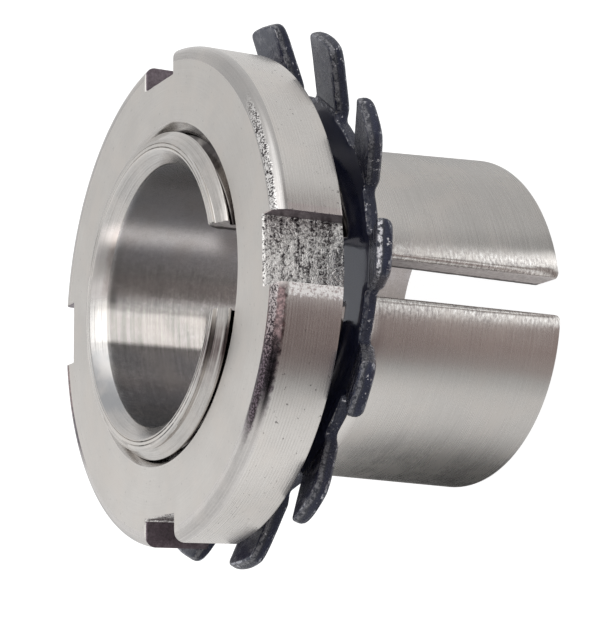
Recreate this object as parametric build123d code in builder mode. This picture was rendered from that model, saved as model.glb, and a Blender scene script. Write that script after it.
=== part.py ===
from build123d import *
import math
import os

os.makedirs("parts", exist_ok=True)

# Driving dimensions, millimetres and degrees.
# Origin: centre of the sleeve's big end face. +Z runs along the bore axis
# towards the threaded end. The sleeve's slit points along -Y.

# --- sleeve ---
SLEEVE_LEN = 29.0
BORE_R = 10.0
BORE_BEVEL_TOP = 1.0
BORE_BEVEL_BOTTOM = 0.2
BIG_END_R = 13.5             # taper radius produced to z = 0
TAPER = 1.0 / 24.0           # radius change per length, a 1:12 taper on diameter
RIM_ROUND = 0.8
TAPER_TOP_Z = 16.6           # where the taper ends and the threaded neck begins
RELIEF_LEN = 1.2             # thread run-out groove
RELIEF_R = 11.55
THREAD_MEAN_R = 12.01        # M25 x 1.5 thread held as its mean cylinder
SLIT_W = 2.83
SLIT_SKEW_DEG = 0.92         # the slit runs this much off the axis
SLIT_TRUE_Z = 8.0            # height at which it crosses the centre plane
SLIT_EDGE_R = 0.5            # its outer edges are rounded over
SLIT_BORE_BREAK = 0.3        # its edges along the bore are broken
KEYWAY_W = 6.2
KEYWAY_BOTTOM_Z = 16.6
KEYWAY_CORNER_R = 0.8

# --- lock nut ---
NUT_R = 19.0
NUT_LEN = 7.0
NUT_TOP_Z = 27.95
NUT_BORE_R = 12.06           # running clearance over the sleeve's mean thread
NUT_BORE_MOUTH_R = 13.1      # top bevel of the threaded bore
NUT_BORE_MOUTH_BOTTOM_R = 12.9
NUT_TOP_ROUND = 0.9          # rounded front edge
NUT_FACE_R = 15.8            # flat on the washer side
NUT_CONE_DEG = 30.0          # bevel from that flat out to the full diameter
NUT_SLOT_W = 5.0
NUT_SLOT_FLOOR_R = 16.8
NUT_SLOT_COUNT = 4
NUT_TURN_DEG = 0.2           # the slots sit this far round from the slit

# --- lock washer ---
WASHER_T = 1.14
RING_IN_R = 13.2
RING_OUT_R = 16.0
WASHER_TOP_Z = 19.23         # upper face on the bore axis
WASHER_TILT_DEG = 2.54       # it lies a little askew on the thread
WASHER_LOW_DEG = -6.5        # direction of its low side
WASHER_SHIFT = 0.61          # it also hangs a little off centre
WASHER_SHIFT_DEG = -5.5
WASHER_TURN_DEG = -1.35      # and is turned by the play of its tang
TANG_W = 4.9
TANG_IN_R = 10.65
TAB_COUNT = 13
TAB_W = 4.08
TAB_BEND_DEG = 26.15
TAB_BEND_R = 16.29           # where the tab's upper face turns up
TAB_TIP_R = 20.98            # upper edge of the tip
TAB_TIP_CROWN = 0.19         # the tip bows out by this much
TAB_ROOT_R = 15.2
TAB_TIP_ROUND = 0.58
TAB_BEND_INNER = 0.6


# ---------------------------------------------------------------- sleeve
neck_z = TAPER_TOP_Z
taper_top_r = BIG_END_R - TAPER * TAPER_TOP_Z

with BuildPart() as sleeve:
    with BuildSketch(Plane.XZ) as sleeve_section:
        with BuildLine():
            Polyline(
                (BORE_R + BORE_BEVEL_BOTTOM, 0),
                (BIG_END_R, 0),
                (taper_top_r, neck_z),
                (RELIEF_R + 0.55, neck_z),
                (RELIEF_R, neck_z + 0.3),
                (RELIEF_R, neck_z + RELIEF_LEN - 0.3),
                (THREAD_MEAN_R, neck_z + RELIEF_LEN),
                (THREAD_MEAN_R, SLEEVE_LEN - 0.35),
                (THREAD_MEAN_R - 0.31, SLEEVE_LEN),
                (BORE_R + BORE_BEVEL_TOP, SLEEVE_LEN),
                (BORE_R, SLEEVE_LEN - BORE_BEVEL_TOP),
                (BORE_R, BORE_BEVEL_BOTTOM),
                close=True,
            )
        make_face()
    revolve(axis=Axis.Z)
    # rounded rim of the big end
    rim = sleeve.edges().filter_by(GeomType.CIRCLE).filter_by(
        lambda e: abs(e.center().Z) < 1e-3 and abs(e.radius - BIG_END_R) < 1e-2
    )
    fillet(rim, RIM_ROUND)
    # slit through the wall for the whole length
    with BuildSketch(Plane.XZ.offset(BORE_R - 4)):
        with Locations(Location((0, SLIT_TRUE_Z, 0), (0, 0, -SLIT_SKEW_DEG))):
            Rectangle(SLIT_W, 3 * SLEEVE_LEN)
    extrude(amount=10, mode=Mode.SUBTRACT)
    # wider keyway through the threaded neck, with rounded bottom corners
    with BuildSketch(Plane.XZ.offset(BORE_R - 4)) as keyway_outline:
        with Locations((0, (KEYWAY_BOTTOM_Z + SLEEVE_LEN + 2) / 2)):
            Rectangle(KEYWAY_W, SLEEVE_LEN + 2 - KEYWAY_BOTTOM_Z)
        fillet(
            keyway_outline.vertices().filter_by(lambda v: v.Z < KEYWAY_BOTTOM_Z + 1),
            KEYWAY_CORNER_R,
        )
    extrude(amount=10, mode=Mode.SUBTRACT)
    # the slit's long outer edges are rounded over
    lips = sleeve.edges().filter_by(
        lambda e: abs(abs(e.center().X) - SLIT_W / 2) < 0.2
        and TAPER_TOP_Z - 2 < e.length < TAPER_TOP_Z + 1
        and e.center().Y < -BORE_R - 1.5
    )
    fillet(lips, SLIT_EDGE_R)
    # its edges along the bore are broken
    lean = math.radians(SLIT_SKEW_DEG)
    along_slit = Plane(
        origin=(0, 0, SLIT_TRUE_Z),
        x_dir=(math.cos(lean), 0, -math.sin(lean)),
        z_dir=(math.sin(lean), 0, math.cos(lean)),
    )
    with BuildSketch(along_slit):
        with BuildLine():
            Polyline(
                (SLIT_W / 2 + 0.9, -(BORE_R + SLIT_BORE_BREAK - 0.9)),
                (SLIT_W / 2, -(BORE_R + SLIT_BORE_BREAK)),
                (-SLIT_W / 2, -(BORE_R + SLIT_BORE_BREAK)),
                (-SLIT_W / 2 - 0.9, -(BORE_R + SLIT_BORE_BREAK - 0.9)),
                close=True,
            )
        make_face()
    extrude(amount=KEYWAY_BOTTOM_Z - SLIT_TRUE_Z, both=True, mode=Mode.SUBTRACT)

sleeve.part.label = "sleeve"

# ---------------------------------------------------------------- lock nut
nut_bottom_z = NUT_TOP_Z - NUT_LEN
cone_rise = (NUT_R - NUT_FACE_R) * math.tan(math.radians(NUT_CONE_DEG))
mouth_top = NUT_BORE_MOUTH_R - NUT_BORE_R
mouth_bottom = NUT_BORE_MOUTH_BOTTOM_R - NUT_BORE_R

with BuildPart() as lock_nut:
    with BuildSketch(Plane.XZ) as nut_section:
        with BuildLine():
            Polyline(
                (NUT_BORE_MOUTH_BOTTOM_R, nut_bottom_z),
                (NUT_FACE_R, nut_bottom_z),
                (NUT_R, nut_bottom_z + cone_rise),
                (NUT_R, NUT_TOP_Z),
                (NUT_BORE_MOUTH_R, NUT_TOP_Z),
                (NUT_BORE_R, NUT_TOP_Z - mouth_top),
                (NUT_BORE_R, nut_bottom_z + mouth_bottom),
                close=True,
            )
        make_face()
        fillet(
            nut_section.vertices().filter_by(
                lambda v: v.X > NUT_R - 1e-3 and v.Z > NUT_TOP_Z - 1e-3
            ),
            NUT_TOP_ROUND,
        )
    revolve(axis=Axis.Z)
    # spanner slots, flat floored, right across the rim
    slot_len = 4.0
    with BuildSketch(Plane.XY.offset(nut_bottom_z - 1)):
        with PolarLocations(
            NUT_SLOT_FLOOR_R + slot_len / 2,
            NUT_SLOT_COUNT,
            start_angle=-90 + NUT_TURN_DEG,
        ):
            Rectangle(slot_len, NUT_SLOT_W)
    extrude(amount=NUT_LEN + 2, mode=Mode.SUBTRACT)

lock_nut.part.label = "lock_nut"

# ---------------------------------------------------------------- lock washer
low = math.radians(WASHER_LOW_DEG)
tilt = math.radians(WASHER_TILT_DEG)
shift = math.radians(WASHER_SHIFT_DEG)
centre_x = WASHER_SHIFT * math.cos(shift)
centre_y = WASHER_SHIFT * math.sin(shift)
normal = Vector(
    math.sin(tilt) * math.cos(low), math.sin(tilt) * math.sin(low), math.cos(tilt)
)
# the washer's own axes: wx points at +X as nearly as its tilt allows
wy = normal.cross(Vector(1, 0, 0)).normalized()
wx = wy.cross(normal).normalized()
seat = Plane(
    origin=(centre_x, centre_y, WASHER_TOP_Z),
    x_dir=wx,
    z_dir=normal,
)

bend = math.radians(TAB_BEND_DEG)
tip_rise = (TAB_TIP_R - TAB_BEND_R) * math.tan(bend)
tip_low = (
    TAB_TIP_R + WASHER_T * math.sin(bend),
    tip_rise - WASHER_T * math.cos(bend),
)
# both faces bend about one centre above the ring
bend_c = TAB_BEND_R - TAB_BEND_INNER * math.tan(bend / 2)
bend_outer = TAB_BEND_INNER + WASHER_T


def on_bend(radius, angle):
    return (
        bend_c + radius * math.sin(angle),
        TAB_BEND_INNER - radius * math.cos(angle),
    )


with BuildPart() as lock_washer:
    # flat ring with its tang
    with BuildSketch(seat.offset(-WASHER_T)) as ring_outline:
        Circle(RING_OUT_R)
        Circle(RING_IN_R, mode=Mode.SUBTRACT)
        with PolarLocations(
            (RING_IN_R + 0.5 + TANG_IN_R) / 2, 1, start_angle=-90 + WASHER_TURN_DEG
        ):
            Rectangle(RING_IN_R + 0.5 - TANG_IN_R, TANG_W)
    extrude(amount=WASHER_T)
    # bent tabs around the rim
    for i in range(TAB_COUNT):
        a = math.radians(-90 + WASHER_TURN_DEG + i * 360.0 / TAB_COUNT)
        radial = wx * math.cos(a) + wy * math.sin(a)
        across = radial.cross(normal).normalized()
        with BuildSketch(Plane(origin=seat.origin, x_dir=radial, z_dir=across)) as tab:
            with BuildLine():
                Line((TAB_ROOT_R, 0), (bend_c, 0))
                ThreePointArc(
                    (bend_c, 0),
                    on_bend(TAB_BEND_INNER, bend / 2),
                    on_bend(TAB_BEND_INNER, bend),
                )
                Polyline(
                    on_bend(TAB_BEND_INNER, bend),
                    (TAB_TIP_R, tip_rise),
                    tip_low,
                    on_bend(bend_outer, bend),
                )
                ThreePointArc(
                    on_bend(bend_outer, bend),
                    on_bend(bend_outer, bend / 2),
                    (bend_c, -WASHER_T),
                )
                Polyline(
                    (bend_c, -WASHER_T),
                    (TAB_ROOT_R, -WASHER_T),
                    (TAB_ROOT_R, 0),
                )
            make_face()
        extrude(amount=TAB_W / 2, both=True)
        # the tip is bowed and its corners rounded, square to the tab's faces
        along = radial * math.cos(bend) + normal * math.sin(bend)
        tip_face = Plane(
            origin=seat.origin + radial * TAB_TIP_R + normal * tip_rise,
            x_dir=along,
            z_dir=along.cross(across),
        )
        with BuildSketch(tip_face) as trim:
            with Locations((-0.5, 0)):
                Rectangle(2.0, TAB_W + 1)
            with BuildLine():
                ThreePointArc(
                    (-TAB_TIP_CROWN, -TAB_W / 2),
                    (0, 0),
                    (-TAB_TIP_CROWN, TAB_W / 2),
                )
                Polyline(
                    (-TAB_TIP_CROWN, TAB_W / 2),
                    (-3, TAB_W / 2),
                    (-3, -TAB_W / 2),
                    (-TAB_TIP_CROWN, -TAB_W / 2),
                )
            make_face(mode=Mode.SUBTRACT)
        extrude(amount=2.0, both=True, mode=Mode.SUBTRACT)
    # rounded tip corners
    tips = lock_washer.edges().filter_by(
        lambda e: abs(e.length - WASHER_T) < 0.02
        and math.hypot(e.center().X - centre_x, e.center().Y - centre_y) > TAB_TIP_R - 0.9
    )
    fillet(tips, TAB_TIP_ROUND)

lock_washer.part.label = "lock_washer"

export_step(sleeve.part, "parts/sleeve.step")
export_step(lock_nut.part, "parts/lock_nut.step")
export_step(lock_washer.part, "parts/lock_washer.step")
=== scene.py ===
import math

import bmesh
import bpy
import numpy as np
from mathutils import Matrix, Vector
from mathutils.geometry import delaunay_2d_cdt


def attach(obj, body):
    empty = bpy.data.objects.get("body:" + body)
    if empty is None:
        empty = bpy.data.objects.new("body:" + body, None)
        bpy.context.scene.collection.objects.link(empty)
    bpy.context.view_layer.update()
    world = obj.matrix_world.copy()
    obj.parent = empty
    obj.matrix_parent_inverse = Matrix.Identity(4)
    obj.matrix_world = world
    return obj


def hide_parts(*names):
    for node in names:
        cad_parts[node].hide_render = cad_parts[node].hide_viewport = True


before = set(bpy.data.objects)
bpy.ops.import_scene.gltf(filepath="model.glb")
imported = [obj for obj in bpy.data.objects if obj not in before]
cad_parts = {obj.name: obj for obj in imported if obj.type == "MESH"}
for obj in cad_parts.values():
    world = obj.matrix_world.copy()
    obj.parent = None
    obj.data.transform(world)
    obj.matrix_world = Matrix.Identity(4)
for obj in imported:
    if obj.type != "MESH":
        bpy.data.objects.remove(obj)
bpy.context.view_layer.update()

scene = bpy.context.scene

# ------------------------------------------------------------------ sizes, mm
PITCH = 1.5
SLEEVE_LEN = 29.0
BORE_R = 10.0
BORE_BEVEL_TOP = 1.0
BORE_BEVEL_BOTTOM = 0.2
BIG_END_R = 13.5
RIM_ROUND = 0.8
TAPER = 1.0 / 24.0
NECK_Z = 16.6
GROOVE_R = 11.55
THREAD_START_Z = 17.55
THREAD_BEVEL = 0.8
SLIT_HALF = 1.415
SLIT_SKEW = math.tan(math.radians(0.92))
SLIT_TRUE_Z = 8.0
SLIT_EDGE = 0.5
KEYWAY_HALF = 3.1
KEYWAY_CORNER = 0.8

NUT_TOP = 27.95
NUT_BOTTOM = 20.95
NUT_R = 19.0
NUT_ROUND = 0.9
NUT_FACE_R = 15.8
NUT_CONE = math.radians(30)
MOUTH_TOP_R = 13.1
MOUTH_BOTTOM_R = 12.9
SLOT_HALF = 2.5
SLOT_FLOOR_R = 16.8
NUT_TURN = math.radians(0.2)

WASHER_T = 1.14
RING_IN_R = 13.2
RING_OUT_R = 16.0
WASHER_TOP_Z = 19.23
WASHER_TILT = math.radians(2.54)
WASHER_LOW = math.radians(-6.5)
WASHER_SHIFT = 0.61
WASHER_SHIFT_DIR = math.radians(-5.5)
WASHER_TURN = math.radians(-1.35)
TANG_HALF = 2.45
TANG_IN_R = 10.65
TABS = 13
TAB_HALF = 2.04
TAB_BEND = math.radians(26.15)
TAB_BEND_R = 16.29
TAB_TIP_R = 20.98
TAB_TIP_CROWN = 0.19
TAB_TIP_ROUND = 0.58
BEND_INNER = 0.6


# ------------------------------------------------------------------ mesh tools
def lattice_noise(seed, size=256):
    rng = np.random.default_rng(seed)
    table = rng.random((size, size))

    def at(u, v):
        u, v = np.asarray(u, float), np.asarray(v, float)
        iu, iv = np.floor(u).astype(int), np.floor(v).astype(int)
        fu, fv = u - iu, v - iv
        fu, fv = fu * fu * (3 - 2 * fu), fv * fv * (3 - 2 * fv)
        a = table[iu % size, iv % size]
        b = table[(iu + 1) % size, iv % size]
        c = table[iu % size, (iv + 1) % size]
        d = table[(iu + 1) % size, (iv + 1) % size]
        return (a * (1 - fu) + b * fu) * (1 - fv) + (c * (1 - fu) + d * fu) * fv - 0.5

    return at


def new_mesh(name, verts, faces):
    """A mesh from points in millimetres, doubled points joined and normals outward."""
    mesh = bpy.data.meshes.new(name)
    mesh.from_pydata([tuple(v) for v in verts], [], faces)
    bm = bmesh.new()
    bm.from_mesh(mesh)
    bmesh.ops.remove_doubles(bm, verts=bm.verts, dist=2e-5)
    bmesh.ops.dissolve_degenerate(bm, dist=1e-6, edges=bm.edges)
    bmesh.ops.recalc_face_normals(bm, faces=bm.faces)
    bm.to_mesh(mesh)
    bm.free()
    return mesh


def as_object(name, mesh):
    obj = bpy.data.objects.new(name, mesh)
    scene.collection.objects.link(obj)
    return obj


def cut(obj, cutters):
    """Takes closed cutters out of a closed solid and drops them."""
    for c in cutters:
        mod = obj.modifiers.new("cut", "BOOLEAN")
        mod.operation = "DIFFERENCE"
        mod.solver = "MANIFOLD"
        mod.object = c
    bpy.context.view_layer.update()
    dg = bpy.context.evaluated_depsgraph_get()
    result = bpy.data.meshes.new_from_object(obj.evaluated_get(dg))
    obj.modifiers.clear()
    old = obj.data
    obj.data = result
    bpy.data.meshes.remove(old)
    for c in cutters:
        data = c.data
        bpy.data.objects.remove(c)
        bpy.data.meshes.remove(data)
    bm = bmesh.new()
    bm.from_mesh(result)
    bmesh.ops.remove_doubles(bm, verts=bm.verts, dist=1e-4)
    bmesh.ops.dissolve_degenerate(bm, dist=1e-5, edges=bm.edges)
    bm.to_mesh(result)
    bm.free()


def to_metres(obj, smooth_deg=32):
    obj.data.transform(Matrix.Scale(0.001, 4))
    obj.data.shade_smooth()
    obj.data.set_sharp_from_angle(angle=math.radians(smooth_deg))
    obj.data.update()


def sections_solid(name, sections):
    """A closed solid through sections, each the same number of points in order."""
    n, m = len(sections[0]), len(sections)
    verts = [p for s in sections for p in s]
    faces = []
    for j in range(m - 1):
        for k in range(n):
            a, b = j * n + k, j * n + (k + 1) % n
            faces.append((a, b, b + n, a + n))
    faces.append(tuple(range(n - 1, -1, -1)))
    faces.append(tuple(range((m - 1) * n, m * n)))
    return as_object(name, new_mesh(name, verts, faces))


# ------------------------------------------------------------------ threads
HALF_OUTER = [
    (0.0, 12.48), (0.045, 12.48), (0.082, 12.476), (0.112, 12.45),
    (0.27, 12.177), (0.43, 11.90), (0.575, 11.65), (0.63, 11.585), (0.69, 11.56),
]
HALF_INNER = [
    (0.0, 12.57), (0.06, 12.57), (0.10, 12.54),
    (0.26, 12.265), (0.42, 11.99), (0.552, 11.76), (0.585, 11.712), (0.62, 11.70), (0.69, 11.70),
]


def full_pitch(half):
    """One pitch from a crest's middle, as offsets and radii."""
    zs = [z for z, _ in half] + [PITCH - z for z, _ in reversed(half[1:])]
    rs = [r for _, r in half] + [r for _, r in reversed(half[1:])]
    return np.array(zs), np.array(rs)


def thread_column(theta, low, high, first, turns, profile, extra=()):
    """Heights and radii of a right-hand thread along one half-plane, held between two heights."""
    zs, rs = profile
    rise = PITCH * theta / (2 * math.pi)
    base = np.concatenate([zs + PITCH * (first + i) for i in range(turns)])
    z = np.sort(np.concatenate([np.clip(base + rise, low, high), extra]))
    phase = np.mod(z - rise, PITCH)
    r = np.interp(phase, np.append(zs, PITCH), np.append(rs, rs[0]))
    return r, z


# ------------------------------------------------------------------ sleeve
def arc(cr, cz, rad, a0, a1, n):
    return [
        (cr + rad * math.cos(a), cz + rad * math.sin(a))
        for a in np.radians(np.linspace(a0, a1, n))
    ]


def make_sleeve():
    outer = full_pitch(HALF_OUTER)
    inner_z, inner_r = full_pitch(HALF_INNER)
    inner_z, inner_r = np.append(inner_z, PITCH), np.append(inner_r, inner_r[0])
    rim = RIM_ROUND
    # bore upwards from the big end, then the top face
    bore = (
        [(BORE_R + BORE_BEVEL_BOTTOM + 0.05, 0.0), (BORE_R + BORE_BEVEL_BOTTOM - 0.05, 0.04)]
        + [(BORE_R + 0.04, BORE_BEVEL_BOTTOM - 0.03), (BORE_R, BORE_BEVEL_BOTTOM + 0.05)]
        + [(BORE_R, z) for z in np.linspace(1.5, 27.0, 12)]
        + [(BORE_R, SLEEVE_LEN - BORE_BEVEL_TOP - 0.1)]
        + [(BORE_R + 0.06, SLEEVE_LEN - BORE_BEVEL_TOP + 0.03)]
        + [(BORE_R + BORE_BEVEL_TOP - 0.08, SLEEVE_LEN - 0.07), (BORE_R + BORE_BEVEL_TOP - 0.01, SLEEVE_LEN - 0.015)]
        + [(BORE_R + BORE_BEVEL_TOP + 0.07, SLEEVE_LEN)]
    )
    # the tool left two fine lines in the end face, deeper in places
    marks = lattice_noise(8)

    def end_marks(t):
        k1 = 0.012 + 0.075 * float(np.clip(0.75 + 1.3 * marks(t * 1.6 + 20, 3), 0, 1))
        k2 = 0.01 + 0.07 * float(np.clip(0.45 + 1.8 * marks(t * 2.3 + 20, 11), 0, 1))
        return [
            (11.1, SLEEVE_LEN), (11.135, SLEEVE_LEN - k1), (11.18, SLEEVE_LEN), (11.3, SLEEVE_LEN),
            (11.41, SLEEVE_LEN), (11.44, SLEEVE_LEN - k2), (11.485, SLEEVE_LEN - 0.002),
        ]

    # groove, shoulder, taper and rim, downwards
    top_r = BIG_END_R - TAPER * NECK_Z
    down = (
        [(GROOVE_R, THREAD_START_Z - 0.12), (GROOVE_R, NECK_Z + 0.35)]
        + arc(GROOVE_R + 0.3, NECK_Z + 0.3, 0.3, 180, 270, 5)[1:]
        + [(top_r - 0.22, NECK_Z), (top_r - 0.06, NECK_Z - 0.05), (top_r, NECK_Z - 0.22)]
        + [(BIG_END_R - TAPER * z, z) for z in np.linspace(15.6, 1.4, 12)]
        + [(BIG_END_R - TAPER * (rim + 0.12) - 0.001, rim + 0.12)]
        + arc(BIG_END_R - rim * (1 + TAPER) - 0.003, rim, rim, 0, -90, 10)
        + [(BIG_END_R - rim * (1 + TAPER) - 0.15, 0.0), (11.4, 0.0)]
    )
    gap = math.radians(3.0)
    start = -math.pi / 2
    thetas = np.linspace(start + gap, start + 2 * math.pi - gap, 241)
    first = math.floor((THREAD_START_Z - PITCH) / PITCH)
    turns = math.ceil((SLEEVE_LEN + 1.5 * PITCH) / PITCH) - first + 1
    bevel_z = SLEEVE_LEN - THREAD_BEVEL
    end_rows = np.linspace(bevel_z - 0.24, SLEEVE_LEN - 0.01, 15)
    verts, rows = [], []
    for t in thetas:
        r, z = thread_column(t, THREAD_START_Z, SLEEVE_LEN, first, turns, outer, end_rows)
        # the thread runs out into the end bevel, where it leaves only a shallow groove
        bevel = 12.5 + bevel_z - z
        room = np.interp(np.mod(z - PITCH * t / (2 * math.pi), PITCH), inner_z, inner_r) - 0.03
        r = np.where(z > bevel_z - 0.25, np.maximum(r, np.minimum(bevel - 0.05 - 3.2 * np.maximum(bevel_z - z, 0), room)), r)
        r = np.minimum(r, bevel)
        r = np.minimum(r, 12.48)
        r = np.minimum(r, GROOVE_R + (z - THREAD_START_Z) * 1.2)
        r = np.maximum(r, GROOVE_R)
        loop = bore + end_marks(t) + list(zip(r[::-1], z[::-1])) + down
        rows.append(len(loop))
        c, s = math.cos(t), math.sin(t)
        verts += [(p * c, p * s, q) for p, q in loop]
    n = rows[0]
    faces = []
    for j in range(len(thetas) - 1):
        for k in range(n):
            a, b = j * n + k, j * n + (k + 1) % n
            faces.append((a, b, b + n, a + n))
    faces.append(tuple(range(n)))
    faces.append(tuple(range(len(verts) - 1, len(verts) - 1 - n, -1)))
    body = as_object("adapter_sleeve", new_mesh("adapter_sleeve", verts, faces))

    # slit: parallel walls a little askew, rolled over where it meets the outside, broken at the bore and the ends
    wobble = lattice_noise(5)
    burr = lattice_noise(6)

    def slit_section(z, grow):
        below = max(0.0, rim - max(z, 0.0))
        ro = BIG_END_R - TAPER * max(z, 0) - (rim - math.sqrt(max(rim * rim - below * below, 0.0)))
        h = SLIT_HALF + grow
        c, ci = SLIT_EDGE, 0.33 + 0.08 * float(burr(z * 2.3, 3.0)) + 0.03 * float(burr(z * 7.1, 9.0))
        lean = math.asin((h + c) / (ro - c + 0.012))
        cx, cy = h + c, (ro - c + 0.012) * math.cos(lean)
        right = [
            (h + 0.9, -(BORE_R - 0.9 + ci - 0.02)),
            (h, -(BORE_R + ci - 0.02)),
        ]
        right += [(h + 0.012 * float(wobble(y * 2.1, z * 5.0 + 40)), -y) for y in np.linspace(10.6, cy - 0.35, 8)]
        right += [
            (cx - c * math.cos(a) + 0.01 * float(wobble(a * 3.0, z * 2.0 + 9)), -(cy + c * math.sin(a)))
            for a in np.linspace(0.0, math.pi / 2 + lean, 9)
        ]
        right += [
            (h + c + 0.95, -(ro + 0.25)),
            (h + c + 0.95, -(ro + 2.0)),
        ]
        left = [(-x, y) for x, y in reversed(right)]
        lean_x = SLIT_SKEW * (z - SLIT_TRUE_Z)
        return [(x + lean_x, y, z) for x, y in right + left]

    zs = [(-0.7, 1.0), (-0.12, 0.42), (0.0, 0.29), (0.05, 0.22), (0.1, 0.16), (0.17, 0.1), (0.26, 0.045), (0.36, 0.012), (0.45, 0.0)]
    zs += [(z, 0.0) for z in np.linspace(0.7, NECK_Z + 1.4, 56)]
    slit = sections_solid("slit_cutter", [slit_section(z, g) for z, g in zs])

    # keyway through the threaded end, with rounded bottom corners
    def keyway_outline():
        pts = []
        for a in np.radians(np.linspace(0, 90, 7)):
            pts.append(
                (
                    KEYWAY_HALF - KEYWAY_CORNER + KEYWAY_CORNER * math.sin(a),
                    NECK_Z + KEYWAY_CORNER - KEYWAY_CORNER * math.cos(a),
                )
            )
        pts += [(KEYWAY_HALF, z) for z in [*np.linspace(18.0, 27.4, 12), *np.linspace(27.6, SLEEVE_LEN - 0.3, 7)]]
        pts += [(KEYWAY_HALF + 0.02, SLEEVE_LEN - 0.16), (KEYWAY_HALF + 0.1, SLEEVE_LEN - 0.03), (KEYWAY_HALF + 0.9, SLEEVE_LEN + 0.75)]
        return pts

    rough = lattice_noise(9)
    right = keyway_outline()
    outline = right + [(-x, z) for x, z in reversed(right)]

    def keyway_section(y, grow):
        # grow widens the cut where it leaves the bore and the outside
        mid_z = 23.0
        out = []
        for x, z in outline:
            rag = 0.09 * float(rough(y * 5.3, z * 2.6 + (30 if x > 0 else 60))) * min(1.0, max(0.0, (z - 27.4) / 0.8))
            gx = (grow + rag) * (1 if x > 0 else -1)
            gz = -grow if z < NECK_Z + 0.5 else 0.0
            out.append((x + gx, -y, z + gz))
        return out

    ys = [(8.9, 0.75), (9.42, 0.24), (9.6, 0.08), (9.72, 0.0)]
    ys += [(y, 0.0) for y in np.linspace(9.9, 11.75, 14)]
    ys += [(11.9, 0.03), (12.05, 0.06), (12.2, 0.1), (12.3, 0.12), (12.45, 0.12), (14.5, 0.12)]
    keyway = sections_solid("keyway_cutter", [keyway_section(y, g) for y, g in ys])
    cut(body, [slit, keyway])
    return body


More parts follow.
